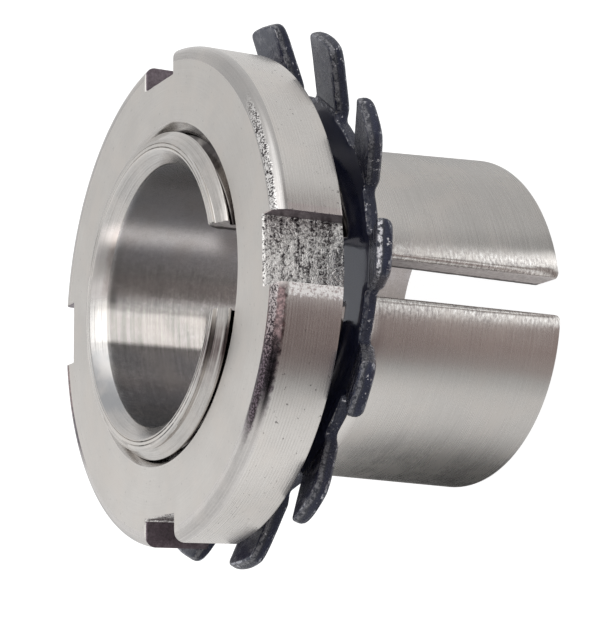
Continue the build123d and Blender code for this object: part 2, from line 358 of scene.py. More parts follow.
# ------------------------------------------------------------------ lock nut
def make_nut():
    inner = full_pitch(HALF_INNER)
    rise = (NUT_R - NUT_FACE_R) * math.tan(NUT_CONE)
    cu, su = math.cos(NUT_CONE), math.sin(NUT_CONE)
    # down the outside from the top mouth to the bottom mouth
    outside = (
        [(MOUTH_TOP_R + 0.05, NUT_TOP)]
        + [(r, NUT_TOP) for r in (14.0, 15.2, 16.4, 17.4)]
        + [(17.9, NUT_TOP)]
        + arc(NUT_R - NUT_ROUND, NUT_TOP - NUT_ROUND, NUT_ROUND, 90, 0, 13)
        + [(NUT_R, z) for z in np.linspace(NUT_TOP - NUT_ROUND - 0.3, NUT_BOTTOM + rise + 0.5, 6)]
        + [(NUT_R, NUT_BOTTOM + rise + 0.08), (NUT_R - 0.015, NUT_BOTTOM + rise - 0.01), (NUT_R - 0.08 * cu, NUT_BOTTOM + rise - 0.08 * su)]
        + [((NUT_R + NUT_FACE_R) / 2, NUT_BOTTOM + rise / 2)]
        + [(NUT_FACE_R + 0.08 * cu, NUT_BOTTOM + 0.08 * su), (NUT_FACE_R, NUT_BOTTOM + 0.008), (NUT_FACE_R - 0.08, NUT_BOTTOM)]
        + [(15.0, NUT_BOTTOM), (13.8, NUT_BOTTOM), (MOUTH_BOTTOM_R + 0.04, NUT_BOTTOM)]
    )
    columns = 288
    first = math.floor((NUT_BOTTOM - PITCH) / PITCH)
    turns = math.ceil((NUT_TOP + 1.2 * PITCH) / PITCH) - first + 1
    per = len(inner[0])
    verts = []
    thetas = [2 * math.pi * j / columns for j in range(columns)]
    k_in = None
    for t in thetas:
        r, z = thread_column(t, NUT_BOTTOM, NUT_TOP, first, turns, inner)
        # the mouth's bevel isn't quite concentric with the thread
        off = -0.12 * math.cos(t - math.radians(-150))
        r = np.maximum(r, MOUTH_TOP_R + off - (NUT_TOP - z))
        r = np.maximum(r, MOUTH_BOTTOM_R - (z - NUT_BOTTOM))
        k_in = len(r)
        loop = list(zip(r, z)) + [(MOUTH_TOP_R + off + 0.05, NUT_TOP)] + outside[1:]
        c, s = math.cos(t), math.sin(t)
        verts += [(p * c, p * s, q) for p, q in loop]
    n = k_in + len(outside)
    faces = []
    for j in range(columns):
        seam = j == columns - 1
        a0, b0 = j * n, ((j + 1) % columns) * n
        for k in range(n):
            k2 = (k + 1) % n
            if not seam:
                faces.append((a0 + k, a0 + k2, b0 + k2, b0 + k))
                continue
            # the helix comes round one pitch higher, so the last column joins the first one a pitch along
            m = min(k + per, k_in - 1) if k < k_in else k
            m2 = min(k2 + per, k_in - 1) if k2 < k_in else k2
            if k2 == 0:
                m2 = 0
            if m == m2 and k < k_in and k2 < k_in:
                faces.append((a0 + k, a0 + k2, b0 + m))
            else:
                faces.append((a0 + k, a0 + k2, b0 + m2, b0 + m))
    body = as_object("lock_nut_body", new_mesh("lock_nut_body", verts, faces))

    cutters = []
    for i in range(4):
        n1, n2, n3, n4 = (lattice_noise(20 + 5 * i + q) for q in range(4))
        turn = -math.pi / 2 + NUT_TURN + i * math.pi / 2
        radial = (math.cos(turn), math.sin(turn))
        side = (-math.sin(turn), math.cos(turn))

        def floor_at(v, z, n1=n1, n2=n2, n3=n3, n4=n4):
            tears = 0.042 * n1(v * 4.2, z * 4.2) + 0.034 * n2(v * 9.0, z * 9.0)
            long_marks = 0.03 * n3(v * 8.5, z * 1.6 + 50)
            chatter = 0.035 * n4(v * 0.25, z * 1.35)
            far = np.clip((NUT_BOTTOM + 3.0 - z) / 0.8, 0, 1)
            return SLOT_FLOOR_R + chatter + tears * (1 - 0.55 * far) + long_marks * (0.4 + far)

        levels = [(NUT_BOTTOM + q, g) for q, g in ((-1.1, 0.95), (-0.25, 0.2), (-0.08, 0.07), (0.04, 0.0))]
        levels += [(z, 0.0) for z in np.linspace(NUT_BOTTOM + 0.16, NUT_TOP - 0.16, 60)]
        levels += [(NUT_TOP + q, g) for q, g in ((-0.08, 0.03), (-0.02, 0.08), (0.2, 0.28), (1.0, 1.0))]
        sections = []
        vs = np.linspace(-SLOT_HALF + 0.1, SLOT_HALF - 0.1, 52)
        for z, g in levels:
            h = SLOT_HALF + g
            floor = floor_at(vs, np.full_like(vs, z)) - g
            pts = list(zip(floor, vs * h / SLOT_HALF))
            base = SLOT_FLOOR_R - g
            right = [
                (base + 0.03, h - 0.05), (base + 0.1, h),
                (base + 0.7, h + 0.01 * float(n3(z * 3.0, 7.0))),
                (base + 1.3, h + 0.01 * float(n3(z * 3.0, 17.0))),
                (NUT_R - 0.22, h), (NUT_R - 0.1, h + 0.04), (NUT_R + 0.6, h + 0.7), (NUT_R + 2.0, h + 0.7),
            ]
            left = [(u, -v) for u, v in reversed(right)]
            pts = pts + right + left
            sections.append(
                [(u * radial[0] + v * side[0], u * radial[1] + v * side[1], z) for u, v in pts]
            )
        cutters.append(sections_solid(f"slot_cutter_{i}", sections))
    cut(body, cutters)
    return body


# ------------------------------------------------------------------ lock washer
def fillet_path(points, radii, step=0.22):
    """A closed outline through corner points, each rounded by its own radius."""
    out = []
    n = len(points)
    for i in range(n):
        p, a, b = Vector(points[i]), Vector(points[i - 1]), Vector(points[(i + 1) % n])
        rad = radii[i]
        u, v = (a - p).normalized(), (b - p).normalized()
        ang = math.acos(max(-1.0, min(1.0, u.dot(v))))
        if rad <= 0 or ang > math.pi - 0.02:
            out.append(tuple(p))
            continue
        back = rad / math.tan(ang / 2)
        c = p + (u + v).normalized() * (rad / math.sin(ang / 2))
        s, t = p + u * back, p + v * back
        a0 = math.atan2(s.y - c.y, s.x - c.x)
        a1 = math.atan2(t.y - c.y, t.x - c.x)
        da = (a1 - a0 + math.pi) % (2 * math.pi) - math.pi
        m = max(3, int(abs(da) * rad / step) + 1)
        for q in range(m + 1):
            w = a0 + da * q / m
            out.append((c.x + rad * math.cos(w), c.y + rad * math.sin(w)))
    return out


def make_washer():
    bend_c = TAB_BEND_R - BEND_INNER * math.tan(TAB_BEND / 2)
    neutral = BEND_INNER + WASHER_T / 2
    arc_len = neutral * TAB_BEND
    past = (TAB_TIP_R - TAB_BEND_R) / math.cos(TAB_BEND) - BEND_INNER * math.tan(TAB_BEND / 2)
    tip_u = bend_c + arc_len + past - 0.008
    step = 2 * math.pi / TABS
    tab_angles = [-math.pi / 2 + WASHER_TURN + i * step for i in range(TABS)]

    corners, radii = [], []
    for i, a in enumerate(tab_angles):
        c, s = math.cos(a), math.sin(a)

        def at(u, v):
            return (u * c - v * s, u * s + v * c)

        root_u = math.sqrt(RING_OUT_R**2 - TAB_HALF**2)
        corners += [at(root_u, -TAB_HALF), at(tip_u - TAB_TIP_CROWN, -TAB_HALF)]
        radii += [0.45, TAB_TIP_ROUND]
        for q in (-0.62, -0.42, -0.21, 0.0, 0.21, 0.42, 0.62):
            corners.append(at(tip_u - TAB_TIP_CROWN * q * q, q * TAB_HALF))
            radii.append(0.0)
        corners += [at(tip_u - TAB_TIP_CROWN, TAB_HALF), at(root_u, TAB_HALF)]
        radii += [TAB_TIP_ROUND, 0.45]
        # the ring's rim between this tab and the next
        edge = math.asin(TAB_HALF / RING_OUT_R)
        for q in np.linspace(a + edge, a + step - edge, 5)[1:-1]:
            corners.append((RING_OUT_R * math.cos(q), RING_OUT_R * math.sin(q)))
            radii.append(0.0)
    outline = fillet_path(corners, radii)

    # long straight edges get points along them
    def divided(path, most):
        pts = []
        for i, p in enumerate(path):
            q = path[(i + 1) % len(path)]
            d = math.dist(p, q)
            m = max(1, math.ceil(d / most))
            pts += [(p[0] + (q[0] - p[0]) * k / m, p[1] + (q[1] - p[1]) * k / m) for k in range(m)]
        return pts

    outline = divided(outline, 0.3)
    inner_pts, inner_radii = [], []
    half = math.asin(TANG_HALF / RING_IN_R)
    turn0 = -math.pi / 2 + WASHER_TURN
    around = np.linspace(turn0 + half, turn0 - half + 2 * math.pi, 120)
    for q in around:
        inner_pts.append((RING_IN_R * math.cos(q), RING_IN_R * math.sin(q)))
        inner_radii.append(0.0)
    inner_radii[0] = inner_radii[-1] = 0.0
    ct, st = math.cos(WASHER_TURN), math.sin(WASHER_TURN)
    inner_pts += [(x * ct + TANG_IN_R * st, x * st - TANG_IN_R * ct) for x in (-TANG_HALF, TANG_HALF)]
    inner_radii += [0.35, 0.35]
    hole = divided(fillet_path(inner_pts, inner_radii), 0.45)

    # the punched edges are rolled over: a small quarter round above and a larger one below
    wave = lattice_noise(61)

    def inset(path, d, side):
        pts = np.array(path)
        e1 = pts - np.roll(pts, 1, 0)
        e2 = np.roll(pts, -1, 0) - pts
        e1 /= np.linalg.norm(e1, axis=1)[:, None]
        e2 /= np.linalg.norm(e2, axis=1)[:, None]
        n1 = np.stack([-e1[:, 1], e1[:, 0]], 1)
        n2 = np.stack([-e2[:, 1], e2[:, 0]], 1)
        m = n1 + n2
        m /= np.linalg.norm(m, axis=1)[:, None]
        miter = 1.0 / np.maximum(0.6, np.sum(m * n1, 1))
        return pts + side * m * (d * miter)[:, None]

    def at_tab(a, u, v):
        return (u * math.cos(a) - v * math.sin(a), u * math.sin(a) + v * math.cos(a))

    def rolled(path, side):
        """Rows of points over the edge, from the upper face round to the lower face."""
        pts = np.array(path)
        top = 0.22 + 0.09 * wave(pts[:, 0] * 1.1 + 30, pts[:, 1] * 1.1 + 30)
        low = 0.36 + 0.09 * wave(pts[:, 0] * 1.1 + 80, pts[:, 1] * 1.1 + 60)
        # the sheet drew in most at the corners of the tips
        ends = np.array([at_tab(a, tip_u - TAB_TIP_CROWN - 0.15, q) for a in tab_angles for q in (-TAB_HALF + 0.15, TAB_HALF - 0.15)])
        reach = np.min(np.hypot(pts[:, None, 0] - ends[None, :, 0], pts[:, None, 1] - ends[None, :, 1]), axis=1)
        low = low + 0.3 * np.exp(-((reach / 0.75) ** 2))
        nick = 0.05 * np.clip(wave(pts[:, 0] * 2.7 + 10, pts[:, 1] * 2.7 + 90) + 0.1, 0, 1)
        rows = []
        for a in np.radians([0, 22, 45, 68, 90]):
            rows.append((inset(path, top * (1 - math.sin(a)) + nick * math.sin(a), side), -top * (1 - math.cos(a))))
        for a in np.radians([90, 112, 135, 158, 180]):
            rows.append((inset(path, low * (1 - math.sin(a)) + nick * math.sin(a), side), -WASHER_T + low * (1 + math.cos(a))))
        return rows

    rows_out, rows_hole = rolled(outline, 1.0), rolled(hole, -1.0)
    outline_top = [tuple(q) for q in rows_out[0][0]]
    hole_top = [tuple(q) for q in rows_hole[0][0]]

    # interior points, kept off the edges
    edge_pts = np.array(outline_top + hole_top)
    fill = []
    for q in np.arange(0, 2 * math.pi, 0.5 / 14.4):
        for r in (13.85, 14.25, 14.65, 15.05, 15.35):
            fill.append((r * math.cos(q), r * math.sin(q)))
    for a in tab_angles:
        c, s = math.cos(a), math.sin(a)
        us = list(np.linspace(15.75, bend_c - 0.02, 2)) + list(np.linspace(bend_c + 0.08, bend_c + arc_len, 6)) + list(
            np.linspace(bend_c + arc_len + 0.35, tip_u - 0.8, 11)
        )
        for u in us:
            for v in np.linspace(-TAB_HALF + 0.62, TAB_HALF - 0.62, 7):
                fill.append((u * c - v * s, u * s + v * c))
    for y in (-11.1, -11.6, -12.1, -12.6):
        for x in np.linspace(-1.85, 1.85, 8):
            fill.append((x, y))
    fill = np.array(fill)
    keep = [p for p in fill if np.min(np.hypot(*(edge_pts - p).T)) > 0.2]
    pts = [Vector(p) for p in outline_top + hole_top] + [Vector(p) for p in keep]
    n_out, n_hole = len(outline), len(hole)
    edges = [(i, (i + 1) % n_out) for i in range(n_out)]
    edges += [(n_out + i, n_out + (i + 1) % n_hole) for i in range(n_hole)]
    cv, ce, cf, from_pts, *_ = delaunay_2d_cdt(pts, edges, [], 0, 1e-5)
    # drop what lies in the hole or outside the outline
    ring = np.array(outline_top)
    hole_ring = np.array(hole_top)

    def inside(poly, x, y):
        x1, y1 = poly[:, 0], poly[:, 1]
        x2, y2 = np.roll(x1, -1), np.roll(y1, -1)
        hit = (y1 > y) != (y2 > y)
        with np.errstate(divide="ignore", invalid="ignore"):
            xs = (x2 - x1) * (y - y1) / (y2 - y1) + x1
        return (np.count_nonzero(hit & (x < xs)) % 2) == 1

    tris = []
    for f in cf:
        cx = sum(cv[i][0] for i in f) / len(f)
        cy = sum(cv[i][1] for i in f) / len(f)
        if inside(ring, cx, cy) and not inside(hole_ring, cx, cy):
            tris.append(tuple(f))
    n = len(cv)
    verts = [(p[0], p[1], 0.0) for p in cv] + [(p[0], p[1], -WASHER_T) for p in cv]
    spot = {}
    for out_i, came in enumerate(from_pts):
        for q in came:
            spot[q] = out_i
    faces = list(tris) + [tuple(i + n for i in reversed(f)) for f in tris]
    for rows, first, count in ((rows_out, 0, n_out), (rows_hole, n_out, n_hole)):
        loops = [[spot[first + i] for i in range(count)]]
        for flat, zz in rows[1:-1]:
            base = len(verts)
            verts += [(q[0], q[1], float(np.broadcast_to(zz, (count,))[i])) for i, q in enumerate(flat)]
            loops.append(list(range(base, base + count)))
        last = [spot[first + i] + n for i in range(count)]
        for i, q in enumerate(rows[-1][0]):
            verts[last[i]] = (q[0], q[1], -WASHER_T)
        loops.append(last)
        for la, lb in zip(loops, loops[1:]):
            for i in range(count):
                k = (i + 1) % count
                faces.append((la[i], la[k], lb[k], lb[i]))
    mesh = bpy.data.meshes.new("lock_washer_body")
    mesh.from_pydata(verts, [], faces)
    bm = bmesh.new()
    bm.from_mesh(mesh)
    loose = [v for v in bm.verts if not v.link_faces]
    bmesh.ops.delete(bm, geom=loose, context="VERTS")
    bmesh.ops.recalc_face_normals(bm, faces=bm.faces)
    # bend each tab up towards the nut
    for v in bm.verts:
        x, y, z = v.co
        ang = math.atan2(y, x)
        i = round((ang + math.pi / 2 - WASHER_TURN) / step) % TABS
        a = tab_angles[i]
        c, s = math.cos(a), math.sin(a)
        u, w = x * c + y * s, -x * s + y * c
        if u > bend_c and abs(w) < 3.4:
            t = u - bend_c
            rho = BEND_INNER - z
            phi = min(t, arc_len) / neutral
            u2 = bend_c + rho * math.sin(phi)
            z2 = BEND_INNER - rho * math.cos(phi)
            if t > arc_len:
                u2 += (t - arc_len) * math.cos(TAB_BEND)
                z2 += (t - arc_len) * math.sin(TAB_BEND)
            v.co = (u2 * c - w * s, u2 * s + w * c, z2)
    bm.to_mesh(mesh)
    bm.free()
    # tilt and place
    nrm = Vector(
        (
            math.sin(WASHER_TILT) * math.cos(WASHER_LOW),
            math.sin(WASHER_TILT) * math.sin(WASHER_LOW),
            math.cos(WASHER_TILT),
        )
    )
    wy = nrm.cross(Vector((1, 0, 0))).normalized()
    wx = wy.cross(nrm).normalized()
    centre = Vector(
        (
            WASHER_SHIFT * math.cos(WASHER_SHIFT_DIR),
            WASHER_SHIFT * math.sin(WASHER_SHIFT_DIR),
            WASHER_TOP_Z,
        )
    )
    place = Matrix((wx, wy, nrm)).transposed().to_4x4()
    place.translation = centre
    mesh.transform(place)
    return as_object("lock_washer_body", mesh)


sleeve = make_sleeve()
nut = make_nut()
washer = make_washer()


# ------------------------------------------------------------------ materials
class Graph:
    """Short calls for building a node material."""

    def __init__(self, name):
        self.mat = bpy.data.materials.new(name)
        self.mat.use_nodes = True
        self.tree = self.mat.node_tree
        self.tree.nodes.clear()
        self.out = self.tree.nodes.new("ShaderNodeOutputMaterial")
        self.bsdf = self.tree.nodes.new("ShaderNodeBsdfPrincipled")
        self.link(self.bsdf.outputs[0], self.out.inputs[0])

    def link(self, a, b):
        self.tree.links.new(a, b)

    def node(self, kind, **props):
        n = self.tree.nodes.new(kind)
        for k, v in props.items():
            setattr(n, k, v)
        return n

    def put(self, socket, value):
        if hasattr(value, "is_output"):
            self.link(value, socket)
        else:
            socket.default_value = value

    def math(self, op, a, b=0.0, c=None, clamp=False):
        n = self.node("ShaderNodeMath", operation=op, use_clamp=clamp)
        self.put(n.inputs[0], a)
        self.put(n.inputs[1], b)
        if c is not None:
            self.put(n.inputs[2], c)
        return n.outputs[0]

    def vector(self, x, y, z=0.0):
        n = self.node("ShaderNodeCombineXYZ")
        for i, v in enumerate((x, y, z)):
            self.put(n.inputs[i], v)
        return n.outputs[0]

    def coords(self):
        """Point in millimetres, radius from the bore axis, height."""
        tc = self.node("ShaderNodeTexCoord")
        mm = self.node("ShaderNodeVectorMath", operation="SCALE")
        self.link(tc.outputs["Object"], mm.inputs[0])
        mm.inputs["Scale"].default_value = 1000.0
        sep = self.node("ShaderNodeSeparateXYZ")
        self.link(mm.outputs[0], sep.inputs[0])
        x, y, z = sep.outputs
        r = self.math("SQRT", self.math("ADD", self.math("MULTIPLY", x, x), self.math("MULTIPLY", y, y)))
        return mm.outputs[0], x, y, z, r

    def noise(self, vector, scale, detail=2.0, rough=0.5, dims="3D", distort=0.0):
        n = self.node("ShaderNodeTexNoise", noise_dimensions=dims)
        self.put(n.inputs["Vector"], vector)
        n.inputs["Scale"].default_value = scale
        n.inputs["Detail"].default_value = detail
        n.inputs["Roughness"].default_value = rough
        n.inputs["Distortion"].default_value = distort
        return n.outputs[0]

    def remap(self, value, a, b, c=0.0, d=1.0, smooth=False):
        n = self.node("ShaderNodeMapRange", clamp=True)
        if smooth:
            n.interpolation_type = "SMOOTHSTEP"
        self.put(n.inputs["Value"], value)
        for k, v in zip(("From Min", "From Max", "To Min", "To Max"), (a, b, c, d)):
            self.put(n.inputs[k], v)
        return n.outputs[0]

    def mix(self, fac, a, b):
        n = self.node("ShaderNodeMix", data_type="RGBA")
        self.put(n.inputs[0], fac)
        for sock, v in ((n.inputs[6], a), (n.inputs[7], b)):
            self.put(sock, v if hasattr(v, "is_output") else (*v, 1.0))
        return n.outputs[2]

    def bump(self, height, strength, distance_mm, normal=None):
        n = self.node("ShaderNodeBump")
        n.inputs["Strength"].default_value = strength
        n.inputs["Distance"].default_value = distance_mm * 0.001
        self.link(height, n.inputs["Height"])
        if normal is not None:
            self.link(normal, n.inputs["Normal"])
        return n.outputs[0]

    def set(self, name, value):
        if name == "Base Color" and not hasattr(value, "is_output"):
            value = (*value, 1.0)
        self.put(self.bsdf.inputs[name], value)


def turned_steel(name, light, dark, rough=(0.2, 0.32), lines=9.0, depth=0.004, aniso=0.75, metal=1.0, speckle=0.0, rib=0.0, pits=0.0, mottle=0.0, rough_edge=False, thread_painted_shade=False, bars=0.0, lips=False, slot_burr=False):
    """Bright steel with the rings a turning tool leaves, which run round the axis."""
    g = Graph(name)
    p, x, y, z, r = g.coords()
    rings = g.noise(g.vector(r, z), lines, 3.0, 0.62, "2D")
    coarse = g.noise(g.vector(r, z), lines * 0.22, 2.0, 0.5, "2D")
    cloud = g.noise(p, 0.35, 3.0, 0.55)
    streak = g.noise(g.vector(g.math("MULTIPLY", x, 0.5), g.math("MULTIPLY", y, 0.5), g.math("MULTIPLY", g.math("ADD", r, z), 9.0)), 1.0, 3.0, 0.65)
    grit = g.noise(p, 5.0, 3.0, 0.6)
    tone = g.math("ADD", g.math("MULTIPLY", rings, 0.45), g.math("MULTIPLY", streak, 0.3))
    tone = g.math("ADD", tone, g.math("MULTIPLY", grit, 0.25))
    tone = g.remap(tone, 0.32, 0.68)
    col = g.mix(tone, dark, light)
    if rib > 0:
        # the tool's feed marks, one every 0.24 mm, fainter in places
        wave = g.math("SINE", g.math("MULTIPLY", g.math("ADD", z, g.math("MULTIPLY", cloud, 0.1)), 2 * math.pi / 0.24))
        fade = g.remap(g.noise(p, 0.6, 2.0, 0.5), 0.38, 0.62, 0.25, 1.0, True)
        fade = g.math("MULTIPLY", fade, g.remap(x, 3.0, -3.0, 0.35, 1.0, True))
        ribs = g.math("MULTIPLY", g.remap(wave, 0.1, 1.0), g.math("MULTIPLY", fade, rib))
        col = g.mix(ribs, col, tuple(c * 0.35 for c in dark))
    if thread_painted_shade:
        # painted shade darkens the thread below its end bevel, where it lies inside the nut and in the gaps
        unshaded_thread = g.math("MAXIMUM", g.remap(z, 27.45, 27.7), g.remap(r, 12.56, 12.66))
        col = g.mix(unshaded_thread, (0.07, 0.062, 0.062), col)
    if mottle > 0:
        dull = g.noise(p, 0.22, 4.0, 0.62)
        col = g.mix(g.remap(dull, 0.38, 0.62, 0.0, mottle), col, tuple(c * 0.86 for c in dark))
    if bars > 0:
        # wider bands across the bore where the tool rode a little deeper
        bar = g.noise(g.vector(z, 0.0), 2.1, 4.0, 0.72, "2D")
        col = g.mix(g.remap(bar, 0.43, 0.6, 0.0, bars), col, tuple(c * 0.5 for c in dark))
        # opposite the slit the bands are darker, and the wall is painted with light and shade by side: a painted
        # highlight past x 3.8, painted brown shade at x 1.2 to 3.8, painted bluish shade past x -2.3 and darker painted
        # shade past x -4.6, with random light and dark mottling
        wall = g.remap(z, 27.90, 27.84)
        facing = g.math("MULTIPLY", g.remap(x, 1.1, 0.7), g.remap(x, -2.5, -2.0))
        col = g.mix(g.math("MULTIPLY", facing, g.remap(bar, 0.45, 0.6, 0.0, 0.42)), col, tuple(c * 0.5 for c in dark))
        col = g.mix(g.math("MULTIPLY", wall, g.remap(x, 3.8, 5.6, 0.0, 0.9)), col, (0.97, 0.97, 0.99))
        col = g.mix(g.math("MULTIPLY", wall, g.math("MULTIPLY", g.remap(x, 1.2, 1.8, 0.0, 0.3), g.remap(x, 3.8, 3.2))), col, (0.56, 0.47, 0.455))
        col = g.mix(g.math("MULTIPLY", wall, g.math("MULTIPLY", g.remap(x, -2.3, -2.9, 0.0, 0.3), g.remap(x, -5.6, -4.6))), col, (0.62, 0.65, 0.71))
        col = g.mix(g.math("MULTIPLY", wall, g.remap(x, -4.6, -7.0, 0.0, 0.7)), col, (0.36, 0.372, 0.41))
        mott = g.noise(g.vector(g.math("MULTIPLY", x, 3.6), g.math("MULTIPLY", y, 3.6), g.math("MULTIPLY", z, 2.6)), 1.0, 4.0, 0.75)
        col = g.mix(g.math("MULTIPLY", wall, g.remap(mott, 0.43, 0.64, 0.0, 0.2)), col, tuple(c * 0.5 for c in dark))
        col = g.mix(g.math("MULTIPLY", wall, g.remap(mott, 0.47, 0.34, 0.0, 0.32)), col, (0.97, 0.96, 0.955))
        # the end bevel is painted with shade: brownish and less metallic on one side of its brightest part, darkest
        # there towards the bore, and bluish-grey on the other side
        bevel = g.remap(z, 27.86, 27.92)
        dull = g.math("MULTIPLY", bevel, g.math("MULTIPLY", g.remap(x, 1.2, 2.2), g.remap(x, 7.4, 5.4)))
        col = g.mix(g.math("MULTIPLY", dull, 0.5), col, (0.54, 0.495, 0.485))
        inside = g.math("ADD", r, g.math("MULTIPLY", g.noise(p, 1.6, 3.0, 0.65), 0.4))
        col = g.mix(g.math("MULTIPLY", dull, g.remap(inside, 10.62, 10.3, 0.0, 0.8)), col, (0.30, 0.25, 0.24))
        cool_painted_shade = g.math("MULTIPLY", bevel, g.math("MULTIPLY", g.remap(x, -2.4, -3.3), g.remap(x, -9.6, -7.4)))
        col = g.mix(g.math("MULTIPLY", cool_painted_shade, 0.85), col, (0.44, 0.45, 0.465))
        g.set("Metallic", g.math("SUBTRACT", metal, g.math("MULTIPLY", dull, 0.55)))
    if lips:
        # the rolled lips of the slit are scuffed
        lip = g.math("MULTIPLY", g.remap(g.math("ABSOLUTE", x), 3.3, 2.3), g.remap(y, -9.0, -10.0))
        scuff = g.noise(g.vector(g.math("MULTIPLY", x, 2.2), g.math("MULTIPLY", z, 5.0)), 1.0, 3.0, 0.7, "2D")
        col = g.mix(g.math("MULTIPLY", g.remap(scuff, 0.50, 0.66), lip), col, (0.40, 0.375, 0.37))
        col = g.mix(g.math("MULTIPLY", g.remap(scuff, 0.44, 0.34), lip), col, (0.95, 0.94, 0.92))
    if slot_burr:
        # beside the slot in line with the slit the cutter left a ragged bright lip and a stained one
        front = g.remap(y, -15.0, -16.0)
        fuzz = g.math("MULTIPLY", g.noise(g.vector(g.math("MULTIPLY", x, 1.5), g.math("MULTIPLY", z, 6.0)), 1.0, 3.0, 0.7, "2D"), 0.9)
        low_lip = g.math("MULTIPLY", g.remap(g.math("ADD", x, fuzz), -2.95, -2.75), front)
        low_lip = g.math("MULTIPLY", low_lip, g.remap(x, -2.2, -2.4))
        burrs = g.noise(p, 5.2, 3.0, 0.7)
        # painted shade darkens the turned side towards the slot's edge
        shade = g.math("MULTIPLY", g.remap(x, -6.2, -2.95, 0.0, 0.5), g.math("MULTIPLY", g.remap(x, -2.6, -2.95), front))
        col = g.mix(shade, col, (0.43, 0.36, 0.355))
        col = g.mix(low_lip, col, g.mix(g.remap(burrs, 0.40, 0.50), (0.42, 0.35, 0.345), (0.98, 0.96, 0.945)))
        g.set("Metallic", g.math("SUBTRACT", 1.0, g.math("MULTIPLY", low_lip, 0.75)))
        high_lip = g.math("MULTIPLY", g.remap(x, 3.15, 3.0), g.math("MULTIPLY", g.remap(x, 2.2, 2.4), front))
        col = g.mix(g.math("MULTIPLY", high_lip, 0.7), col, (0.66, 0.58, 0.57))
    if lips or thread_painted_shade or bars > 0:
        # the two lines of the sleeve's end face are drawn dark in patches, most towards -x and -y
        end = g.remap(z, 28.78, 28.84)
        rub = g.remap(g.noise(p, 0.8, 3.0, 0.6), 0.40, 0.52, 0.15, 1.0)
        first_line = g.remap(g.math("ABSOLUTE", g.math("SUBTRACT", r, 11.15)), 0.075, 0.04)
        second_line = g.remap(g.math("ABSOLUTE", g.math("SUBTRACT", r, 11.45)), 0.07, 0.035)
        score = g.math("MULTIPLY", g.math("MAXIMUM", first_line, second_line), g.math("MULTIPLY", end, rub))
        score = g.math("MULTIPLY", score, g.math("MULTIPLY", g.remap(x, 5.0, -2.0, 0.25, 0.9), g.remap(y, 4.5, -0.5, 0.08, 1.0)))
        col = g.mix(score, col, (0.035, 0.032, 0.036))
        # past the keyway the bevel of the end is painted with a dark brown reflection, in streaks
        streaky = g.noise(g.vector(r, 0.0), 5.0, 2.0, 0.6, "2D")
        painted_dark_reflection = g.math("MULTIPLY", g.remap(r, 11.2, 11.26), g.remap(z, 27.7, 27.8))
        painted_dark_reflection = g.math("MULTIPLY", painted_dark_reflection, g.math("MULTIPLY", g.remap(x, -3.9, -4.5), g.remap(x, -8.6, -6.2)))
        painted_dark_reflection = g.math("MULTIPLY", painted_dark_reflection, g.math("MULTIPLY", g.remap(y, -5.0, -7.0), g.remap(streaky, 0.62, 0.50, 0.25, 0.88)))
        col = g.mix(painted_dark_reflection, col, (0.12, 0.085, 0.085))
    if pits > 0:
        dots = g.remap(g.noise(p, 3.6, 2.0, 0.55), 0.68, 0.74, 0.0, pits)
        col = g.mix(dots, col, (0.10, 0.09, 0.09))
    warm = g.remap(cloud, 0.42, 0.7, 0.0, 0.5, True)
    col = g.mix(warm, col, tuple(c * k for c, k in zip(light, (0.985, 0.955, 0.935))))
    g.set("Base Color", col)
    if not slot_burr and bars == 0:
        g.set("Metallic", metal)
    rg = g.math("ADD", g.math("MULTIPLY", rings, 0.5), g.math("MULTIPLY", cloud, 0.5))
    g.set("Roughness", g.remap(rg, 0.3, 0.7, rough[0], rough[1]))
    height = g.math("ADD", rings, g.math("MULTIPLY", coarse, 0.9))
    if rib > 0:
        height = g.math("ADD", height, g.math("MULTIPLY", wave, -0.35))
    if speckle > 0:
        spots = g.noise(p, 5.5, 3.0, 0.7)
        height = g.math("ADD", height, g.math("MULTIPLY", spots, speckle))
    if rough_edge:
        # a torn strip runs along the inner side of the rounded edge
        place = g.math("ADD", r, g.math("MULTIPLY", g.noise(p, 1.4, 3.0, 0.6), 0.3))
        strip = g.math("MULTIPLY", g.remap(place, 18.15, 18.22), g.remap(place, 18.90, 18.78))
        # below the slot the whole rounding is painted dark: blotchy purple stain together with painted shade over its
        # highlight
        stain_and_painted_shade = g.math("MULTIPLY", g.remap(g.math("ADD", z, g.math("MULTIPLY", g.noise(p, 2.2, 4.0, 0.7), 0.9)), 27.45, 27.75), g.remap(x, -2.3, -2.9))
        stain_and_painted_shade = g.math("MULTIPLY", stain_and_painted_shade, g.remap(x, -11.9, -9.4))
        blots = g.remap(g.noise(p, 2.6, 4.0, 0.75), 0.44, 0.60)
        far = g.remap(x, -5.6, -7.6)
        stain_and_shade_colour = g.mix(blots, g.mix(far, (0.085, 0.052, 0.055), (0.035, 0.026, 0.037)), g.mix(far, (0.33, 0.222, 0.224), (0.15, 0.112, 0.14)))
        col = g.mix(g.math("MULTIPLY", stain_and_painted_shade, 0.93), col, stain_and_shade_colour)
        # above the slot the rounding is painted darker upwards, a painted shade that fades its highlight
        upper_painted_shade = g.math("MULTIPLY", g.remap(x, 3.2, 6.2), g.remap(y, -7.0, -11.0))
        col = g.mix(g.math("MULTIPLY", upper_painted_shade, 0.6), col, (0.44, 0.43, 0.42))
        # it is worst on the side where the slit is
        strip = g.math("MULTIPLY", strip, g.remap(g.math("ADD", y, g.remap(x, -6.0, -9.0, 0.0, -1.2)), -13.9, -16.2, 0.0, 1.0, True))
        torn = g.noise(p, 7.5, 2.0, 0.6)
        spot = g.remap(g.math("ADD", torn, g.remap(x, -7.5, -4.5, -0.05, 0.0)), 0.45, 0.52)
